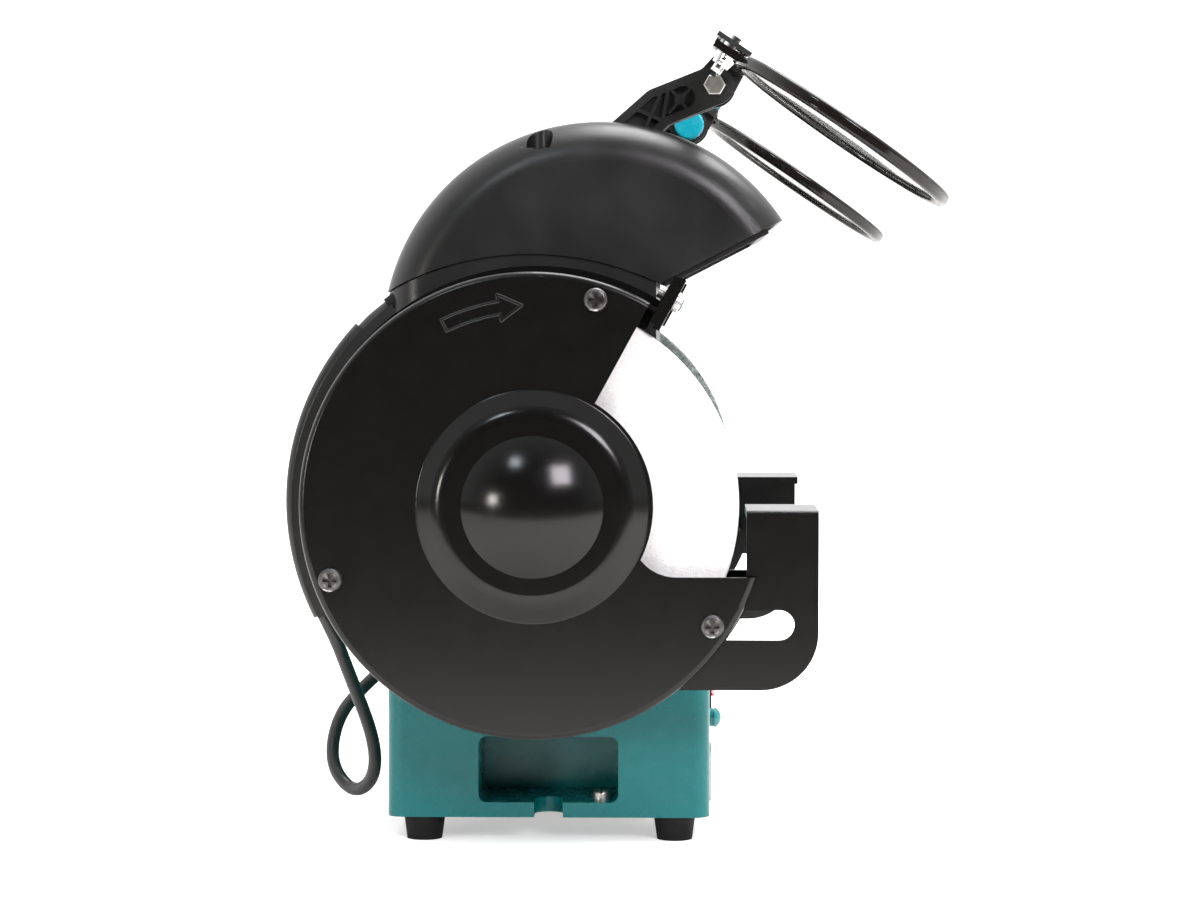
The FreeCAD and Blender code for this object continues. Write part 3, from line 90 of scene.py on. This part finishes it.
# ---------------------------------------------------------------- camera and lights
def make_camera():
    """The photographer's view: along the shaft from the left end, a little above it and to the front."""
    data = bpy.data.cameras.new("camera")
    data.lens = LENS
    data.sensor_width = SENSOR
    data.clip_end = 50.0
    camera = bpy.data.objects.new("camera", data)
    camera.location = at(*CAMERA_PLACE)
    camera.rotation_euler = Vector(CAMERA_LOOK).to_track_quat("-Z", "Y").to_euler()
    bpy.context.scene.collection.objects.link(camera)
    bpy.context.scene.camera = camera


def make_light(name, place, size, power, tint=(1.0, 1.0, 1.0), target=(0.0, 0.0, 0.15), height=None,
               shown=True):
    """A soft box at place, turned to target; sizes in metres, power in watts. Unless shown, gloss never
    reflects it."""
    data = bpy.data.lights.new(name, "AREA")
    data.shape = "RECTANGLE"
    data.size = size
    data.size_y = height or size
    data.energy = power
    data.color = tint
    light = bpy.data.objects.new(name, data)
    light.location = place
    light.visible_glossy = shown
    light.rotation_euler = (Vector(target) - Vector(place)).to_track_quat("-Z", "Y").to_euler()
    bpy.context.scene.collection.objects.link(light)


def make_world():
    """White to look at, and for everything else dark in front of the object and pale behind it."""
    world = bpy.data.worlds.new("studio")
    world.use_nodes = True
    nodes, links = world.node_tree.nodes, world.node_tree.links
    split = nodes.new("ShaderNodeSeparateXYZ")
    links.new(nodes.new("ShaderNodeTexCoord").outputs["Generated"], split.inputs[0])
    room = nodes.new("ShaderNodeMapRange")
    for name, number in (("From Min", -0.8), ("From Max", 0.0), ("To Min", ROOM_DARK), ("To Max", ROOM_PALE)):
        room.inputs[name].default_value = number
    links.new(split.outputs["Y"], room.inputs["Value"])
    path = nodes.new("ShaderNodeLightPath")
    seen = nodes.new("ShaderNodeMath")
    seen.operation = "MAXIMUM"
    links.new(path.outputs["Is Camera Ray"], seen.inputs[0])
    links.new(path.outputs["Is Transmission Ray"], seen.inputs[1])
    level = nodes.new("ShaderNodeMath")
    level.operation = "MAXIMUM"
    links.new(seen.outputs[0], level.inputs[0])
    links.new(room.outputs["Result"], level.inputs[1])
    links.new(level.outputs[0], nodes["Background"].inputs["Strength"])
    nodes["Background"].inputs["Color"].default_value = (1.0, 1.0, 1.0, 1.0)
    bpy.context.scene.world = world


def make_studio(looks):
    """Three soft boxes on the camera's side, two overhead, and a pale sweep under the object."""
    make_light("lamp_left", (-1.12, -1.61, 0.25), 0.22, 5.5, (1.0, 0.98, 0.90))
    make_light("lamp_high", (-0.55, -1.61, 1.32), 0.26, 4.2, (0.85, 0.95, 1.0))
    make_light("key", (0.70, -1.61, 0.91), 0.5, 17.0, (1.0, 0.94, 1.0))
    make_light("ceiling", (0.55, 0.20, 1.55), 1.3, 40.0, target=(0.55, 0.20, 0.0), height=1.1)
    make_light("table", (0.0, -1.6, 1.8), 1.5, 24.0, target=(0.0, -1.0, 0.0), height=1.0, shown=False)
    make_world()
    bpy.context.scene.view_settings.view_transform = "Standard"

    mesh = bpy.data.meshes.new("floor")
    r = FLOOR_REACH
    mesh.from_pydata([(-r, -r, 0), (r, -r, 0), (r, r, 0), (-r, r, 0)], [], [(0, 1, 2, 3)])
    floor = bpy.data.objects.new("floor", mesh)
    bpy.context.scene.collection.objects.link(floor)
    mesh.materials.append(looks["floor"])


# ---------------------------------------------------------------- materials
class Look:
    """A Principled material whose roughness, bump and colour detail come from noise in object space."""

    def __init__(self, name, base, rough, metal=0.0, coat=0.0, specular=0.5, ior=1.5):
        self.material = bpy.data.materials.new(name)
        self.material.use_nodes = True
        self.material.diffuse_color = (*base, 1.0)
        tree = self.material.node_tree
        self.nodes, self.links = tree.nodes, tree.links
        self.shader = self.nodes["Principled BSDF"]
        self.set("Base Color", (*base, 1.0))
        self.set("Roughness", rough)
        self.set("Metallic", metal)
        self.set("Coat Weight", coat)
        self.set("Coat Roughness", 0.05)
        self.set("Specular IOR Level", specular)
        self.set("IOR", ior)
        self.place = self.nodes.new("ShaderNodeTexCoord").outputs["Object"]
        self.normal = None

    def set(self, socket, value):
        self.shader.inputs[socket].default_value = value

    def math(self, kind, a, b=0.0, c=0.0):
        node = self.nodes.new("ShaderNodeMath")
        node.operation = kind
        for slot, value in zip(node.inputs, (a, b, c)):
            if isinstance(value, (int, float)):
                slot.default_value = value
            else:
                self.links.new(value, slot)
        return node.outputs[0]

    def stretch(self, scale):
        """Object coordinates scaled along each axis, so that a grain can run one way."""
        node = self.nodes.new("ShaderNodeMapping")
        node.inputs["Scale"].default_value = scale
        self.links.new(self.place, node.inputs["Vector"])
        return node.outputs["Vector"]

    def noise(self, scale, detail=3.0, along=None):
        """Fractal noise from 0 to 1 with this many features a metre."""
        node = self.nodes.new("ShaderNodeTexNoise")
        node.inputs["Scale"].default_value = scale
        node.inputs["Detail"].default_value = detail
        self.links.new(along or self.place, node.inputs["Vector"])
        return node.outputs["Fac"]

    def cells(self, scale):
        """Distance to the nearest of random points, this many a metre."""
        node = self.nodes.new("ShaderNodeTexVoronoi")
        node.inputs["Scale"].default_value = scale
        self.links.new(self.place, node.inputs["Vector"])
        return node.outputs["Distance"]

    def grain_colour(self, scale):
        """A random grey for each cell, this many a metre."""
        node = self.nodes.new("ShaderNodeTexVoronoi")
        node.inputs["Scale"].default_value = scale
        self.links.new(self.place, node.inputs["Vector"])
        split = self.nodes.new("ShaderNodeSeparateColor")
        self.links.new(node.outputs["Color"], split.inputs[0])
        return split.outputs[0]

    def span(self, value, low, high, start=0.0, stop=1.0):
        """value from start to stop taken to low to high."""
        node = self.nodes.new("ShaderNodeMapRange")
        self.links.new(value, node.inputs["Value"])
        for name, number in (("From Min", start), ("From Max", stop), ("To Min", low), ("To Max", high)):
            node.inputs[name].default_value = number
        return node.outputs["Result"]

    def edges(self, low=0.52, high=0.60):
        """1 on sharp convex edges and 0 on flats."""
        node = self.nodes.new("ShaderNodeNewGeometry")
        return self.span(node.outputs["Pointiness"], 0.0, 1.0, low, high)

    def mix(self, factor, a, b):
        """Colour a where factor is 0 and b where it is 1."""
        node = self.nodes.new("ShaderNodeMix")
        node.data_type = "RGBA"
        self.links.new(factor, node.inputs["Factor"])
        for slot, colour in ((node.inputs[6], a), (node.inputs[7], b)):
            if isinstance(colour, tuple):
                slot.default_value = (*colour, 1.0)
            else:
                self.links.new(colour, slot)
        return node.outputs[2]

    def colour(self, value):
        self.links.new(value, self.shader.inputs["Base Color"])

    def rough(self, value):
        self.links.new(value, self.shader.inputs["Roughness"])

    def bump(self, height, depth, strength=1.0):
        """Adds relief: height from 0 to 1 is depth metres deep."""
        node = self.nodes.new("ShaderNodeBump")
        node.inputs["Strength"].default_value = strength
        node.inputs["Distance"].default_value = depth
        self.links.new(height, node.inputs["Height"])
        if self.normal:
            self.links.new(self.normal, node.inputs["Normal"])
        self.normal = node.outputs["Normal"]
        self.links.new(self.normal, self.shader.inputs["Normal"])


def steel(name, base=(0.60, 0.60, 0.58), rough=0.24, along=(1.0, 1.0, 1.0), depth=0.00002):
    """Turned or drawn steel: fine tool marks, cloudy oil film, brighter worn edges."""
    look = Look(name, base, rough, metal=1.0)
    film = look.noise(90.0, 4.0)
    marks = look.noise(1500.0, 2.0, along=look.stretch(along))
    dull = look.mix(film, tuple(0.82 * c for c in base), base)
    look.colour(look.mix(look.edges(), dull, (0.86, 0.86, 0.84)))
    look.rough(look.span(film, rough * 0.75, rough * 1.5, 0.3, 0.7))
    look.bump(marks, depth)
    return look.material


def plastic(name, base, rough, texture=2600.0, depth=0.00003, coat=0.0):
    """Moulded plastic: a spark-eroded texture, slight flow marks, edges a little paler."""
    look = Look(name, base, rough, coat=coat)
    flow = look.noise(35.0, 3.0)
    pale = tuple(min(1.0, 1.25 * c + 0.004) for c in base)
    look.colour(look.mix(look.edges(0.50, 0.62), look.mix(flow, tuple(0.9 * c for c in base), base), pale))
    look.rough(look.span(flow, rough * 0.85, rough * 1.2, 0.3, 0.7))
    look.bump(look.noise(texture, 2.0), depth)
    return look.material


def teal_paint():
    """Gloss enamel on a die casting: orange peel with slow drifts of tone."""
    look = Look("teal_paint", TEAL, 0.28, specular=0.32)
    drift = look.noise(14.0, 3.0)
    look.colour(look.mix(drift, (0.0028, 0.130, 0.134), (0.0042, 0.154, 0.158)))
    look.rough(look.span(look.noise(160.0, 4.0), 0.24, 0.32, 0.3, 0.7))
    look.bump(look.noise(330.0, 1.0), 0.00005, 0.8)
    return look.material


def black_paint():
    """Satin stove enamel on pressed sheet. The domed boss about the shaft was polished by the press, so it is
    glossier than the flat round it."""
    look = Look("black_paint", (0.0031, 0.0030, 0.0028), 0.22, specular=0.36)
    split = look.nodes.new("ShaderNodeSeparateXYZ")
    look.links.new(look.place, split.inputs[0])
    across = look.math("SUBTRACT", split.outputs["X"], SHAFT.x)
    above = look.math("SUBTRACT", split.outputs["Z"], SHAFT.z)
    square = look.math("ADD", look.math("MULTIPLY", across, across), look.math("MULTIPLY", above, above))
    flat = look.span(look.math("SQRT", square), 0.0, 1.0, BOSS_R * 0.98, BOSS_R * 1.02)
    cloud = look.noise(120.0, 5.0)
    satin = look.span(cloud, 0.20, 0.23, 0.3, 0.7)
    gloss = look.span(cloud, 0.15, 0.19, 0.3, 0.7)
    look.rough(look.math("ADD", look.math("MULTIPLY", satin, flat),
                         look.math("MULTIPLY", gloss, look.math("SUBTRACT", 1.0, flat))))
    look.colour(look.mix(cloud, (0.0028, 0.0027, 0.0025), (0.0035, 0.0033, 0.0031)))
    look.bump(look.noise(1900.0, 2.0), 0.000018, 0.6)
    return look.material


def abrasive(name, base, dark, bright, grit, depth):
    """A vitrified wheel: packed angular grains of mixed tone with pores between them, a few that glint."""
    look = Look(name, base, 0.85, specular=0.35)
    tone = look.grain_colour(grit)
    pores = look.math("GREATER_THAN", look.noise(grit * 0.55, 2.0), 0.68)
    body = look.mix(look.math("POWER", tone, 1.6), base, bright)
    look.colour(look.mix(pores, body, dark))
    look.rough(look.span(look.grain_colour(grit * 1.13), 0.95, 0.45, 0.86, 1.0))
    look.bump(look.math("SUBTRACT", 1.0, look.cells(grit)), depth)
    look.bump(look.noise(grit * 0.25, 2.0), depth * 1.5, 0.5)
    return look.material


def zinc():
    """Passivated zinc plate: crystals of slightly different grey, a faint straw tint."""
    look = Look("zinc", (0.50, 0.49, 0.45), 0.36, metal=1.0)
    crystals = look.grain_colour(220.0)
    plated = look.mix(crystals, (0.44, 0.43, 0.39), (0.56, 0.55, 0.51))
    look.colour(look.mix(look.edges(), plated, (0.8, 0.79, 0.76)))
    look.rough(look.span(look.noise(70.0, 4.0), 0.28, 0.48, 0.3, 0.7))
    look.bump(look.noise(1300.0, 2.0), 0.00002)
    return look.material


def chrome():
    """Bright nickel-chrome plate: a mirror with fine polishing lines and fingered haze."""
    look = Look("chrome", (0.80, 0.80, 0.79), 0.09, metal=1.0)
    haze = look.noise(140.0, 4.0)
    look.colour(look.mix(haze, (0.74, 0.74, 0.73), (0.84, 0.84, 0.83)))
    look.rough(look.span(haze, 0.06, 0.20, 0.35, 0.75))
    look.bump(look.noise(900.0, 2.0, along=look.stretch((1.0, 6.0, 1.0))), 0.000012)
    return look.material


def gloss_frame():
    """Polished black moulding of the shields, with hairline scuffs and a brown cast in places."""
    look = Look("gloss_frame", (0.007, 0.006, 0.0055), 0.14, specular=0.35)
    scuff = look.noise(1100.0, 2.0, along=look.stretch((1.0, 0.12, 0.12)))
    look.rough(look.span(scuff, 0.11, 0.16, 0.45, 0.75))
    look.colour(look.mix(look.noise(60.0, 2.0), (0.005, 0.0045, 0.004), (0.010, 0.0075, 0.006)))
    return look.material


def clear_lens():
    """Polycarbonate: clear, with a faint haze where it has been wiped."""
    look = Look("clear_lens", (0.98, 0.99, 0.99), 0.0, ior=1.45)
    look.set("Transmission Weight", 1.0)
    look.rough(look.span(look.noise(220.0, 5.0), 0.0, 0.02, 0.5, 0.8))
    return look.material


def cyan_plastic():
    """The shield's turn knobs: slightly see-through cyan moulding with a fine grip texture."""
    look = Look("cyan_plastic", (0.0, 0.31, 0.42), 0.28, coat=0.25)
    depth = look.noise(180.0, 3.0)
    look.colour(look.mix(depth, (0.0, 0.28, 0.38), (0.002, 0.37, 0.47)))
    look.rough(look.span(depth, 0.2, 0.38, 0.3, 0.7))
    look.bump(look.noise(1500.0, 2.0), 0.00004)
    return look.material


def white_glass(name, base, depth):
    """Opal or frosted moulding that passes soft light, prismatic on a fine scale."""
    look = Look(name, base, 0.35)
    look.set("Transmission Weight", 0.35)
    look.rough(look.span(look.noise(500.0, 3.0), 0.28, 0.5, 0.3, 0.7))
    look.bump(look.cells(700.0), depth)
    return look.material


def rubber():
    """Black rubber with a faint bloom."""
    look = Look("rubber", (0.005, 0.005, 0.005), 0.7, specular=0.25)
    bloom = look.noise(130.0, 5.0)
    look.colour(look.mix(bloom, (0.004, 0.004, 0.004), (0.007, 0.007, 0.007)))
    look.rough(look.span(bloom, 0.6, 0.85, 0.3, 0.7))
    look.bump(look.noise(1700.0, 3.0), 0.00006)
    return look.material


def lead_jacket():
    """Soft PVC: satin, drawn along its length, a little dusty, grey where it has been bent."""
    look = Look("lead_jacket", (0.014, 0.014, 0.014), 0.36, specular=0.55)
    dust = look.noise(170.0, 4.0)
    look.colour(look.mix(dust, (0.011, 0.011, 0.011), (0.028, 0.028, 0.028)))
    look.rough(look.span(dust, 0.30, 0.50, 0.3, 0.7))
    look.bump(look.noise(900.0, 2.0), 0.00003)
    return look.material


def laminations():
    """Blued core plates pressed into a stack, half a millimetre each."""
    look = Look("lamination", (0.30, 0.31, 0.34), 0.42, metal=1.0)
    wave = look.nodes.new("ShaderNodeTexWave")
    wave.bands_direction = "Y"
    wave.inputs["Scale"].default_value = 320.0
    look.links.new(look.place, wave.inputs["Vector"])
    look.colour(look.mix(look.noise(60.0, 3.0), (0.22, 0.24, 0.30), (0.36, 0.36, 0.37)))
    look.bump(wave.outputs["Fac"], 0.00008)
    return look.material


def copper():
    """Enamelled winding wire under varnish, laid in strands."""
    look = Look("copper", (0.62, 0.24, 0.09), 0.30, metal=0.85, coat=0.5)
    look.colour(look.mix(look.noise(300.0, 3.0), (0.50, 0.17, 0.06), (0.72, 0.30, 0.12)))
    look.bump(look.noise(1500.0, 1.0, along=look.stretch((1.0, 0.08, 1.0))), 0.00015)
    return look.material


def plate_label():
    """Brushed anodised plate with no lettering; its printed border is not drawn."""
    look = Look("plate_label", (0.58, 0.59, 0.60), 0.34, metal=0.9)
    brushed = look.noise(2200.0, 2.0, along=look.stretch((1.0, 0.03, 1.0)))
    look.colour(look.mix(brushed, (0.48, 0.49, 0.50), (0.66, 0.67, 0.68)))
    look.rough(look.span(brushed, 0.26, 0.44, 0.3, 0.7))
    look.bump(brushed, 0.00001)
    return look.material


def floor_paper():
    """White paper to the table's front edge, and beyond it painted shade: the floor coloured dark to stand for
    the unlit room in the reflections. All but the middle glows to the camera, so that it runs into the
    backdrop."""
    look = Look("floor", (0.90, 0.90, 0.90), 0.9, specular=0.2)
    split = look.nodes.new("ShaderNodeSeparateXYZ")
    look.links.new(look.place, split.inputs[0])
    paper = look.span(split.outputs["Y"], 0.0, 1.0, *PAPER_EDGE)
    # painted shade: beyond the paper's edge the floor is coloured dark to stand for the unlit room seen in
    # reflections
    look.colour(look.mix(paper, (0.06, 0.054, 0.048), (0.90, 0.88, 0.86)))
    look.rough(look.span(look.noise(40.0, 4.0), 0.85, 0.95))
    distance = look.nodes.new("ShaderNodeVectorMath")
    distance.operation = "LENGTH"
    look.links.new(look.place, distance.inputs[0])
    glow = look.span(distance.outputs["Value"], GLOW_NEAR, 1.0, *GLOW_RING)
    camera_ray = look.nodes.new("ShaderNodeLightPath").outputs["Is Camera Ray"]
    look.set("Emission Color", (1.0, 1.0, 1.0, 1.0))
    look.links.new(look.math("MULTIPLY", glow, camera_ray), look.shader.inputs["Emission Strength"])
    return look.material


def make_materials():
    """One material for each of the record's slots."""
    return {
        "bright_steel": steel("bright_steel", along=(1.0, 0.05, 1.0)),
        "zinc": zinc(),
        "lamination": laminations(),
        "copper": copper(),
        "teal_paint": teal_paint(),
        "teal_button": plastic("teal_button", (0.002, 0.20, 0.21), 0.3, coat=0.3),
        "rubber": rubber(),
        "capacitor_can": steel("capacitor_can", (0.70, 0.71, 0.72), 0.34),
        "white_abrasive": abrasive(
            "white_abrasive", (0.84, 0.83, 0.82), (0.72, 0.71, 0.70), (0.93, 0.93, 0.92), 1700.0, 0.00012),
        "green_abrasive": abrasive(
            "green_abrasive", (0.23, 0.26, 0.25), (0.06, 0.07, 0.07), (0.46, 0.50, 0.48), 1100.0, 0.0004),
        "black_paint": black_paint(),
        "black_plastic": plastic(
            "black_plastic", (0.0060, 0.0058, 0.0058), 0.34, texture=2100.0, depth=0.00002),
        "frosted_window": white_glass("frosted_window", (0.90, 0.91, 0.92), 0.0002),
        "white_plastic": plastic("white_plastic", (0.78, 0.78, 0.76), 0.4),
        "lamp_glass": white_glass("lamp_glass", (0.93, 0.93, 0.92), 0.00002),
        "lead_jacket": lead_jacket(),
        "plate_label": plate_label(),
        "dark_screw": steel("dark_screw", (0.12, 0.115, 0.115), 0.34),
        "red_plastic": plastic("red_plastic", (0.55, 0.012, 0.010), 0.28, coat=0.2),
        "arm_plastic": plastic(
            "arm_plastic", (0.0050, 0.0048, 0.0048), 0.40, texture=1900.0, depth=0.00004),
        "chrome": chrome(),
        "gloss_frame": gloss_frame(),
        "clear_lens": clear_lens(),
        "cyan_plastic": cyan_plastic(),
        "floor": floor_paper(),
    }


def finish_nodes(looks):
    """Each CAD node takes its slot's material in place of the plain one."""
    slots = {part["node"]: part["material_slot"] for part in frame["record"]["subparts"]}
    for name, node in frame["nodes"].items():
        node.data.materials.clear()
        node.data.materials.append(looks[slots[name]])


# ---------------------------------------------------------------- the lamp's lead
def lead(name, route, look):
    """A cord of radius LEAD_R on one smooth curve along the route."""
    curve = bpy.data.curves.new(name, "CURVE")
    curve.dimensions = "3D"
    curve.bevel_depth = LEAD_R * MM
    curve.bevel_resolution = 6
    curve.resolution_u = 12
    curve.use_fill_caps = True
    spline = curve.splines.new("NURBS")
    spline.points.add(len(route) - 1)
    for point, place in zip(spline.points, route):
        point.co = (*at(*place), 1.0)
    spline.order_u = 3
    spline.use_endpoint_u = True
    curve.materials.append(look)
    piece = bpy.data.objects.new(name, curve)
    bpy.context.scene.collection.objects.link(piece)
    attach(piece, "frame")
    return piece


def make_leads(looks):
    """The lamp's supply: out of the conduit's foot, down in a free loop and back into the base."""
    loop = lead("lamp_lead_jacket", LEAD_LOOP, looks["lead_jacket"])
    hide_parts("lamp_lead")


make_camera()
LOOKS = make_materials()
make_leads(LOOKS)
finish_nodes(LOOKS)
make_studio(LOOKS)
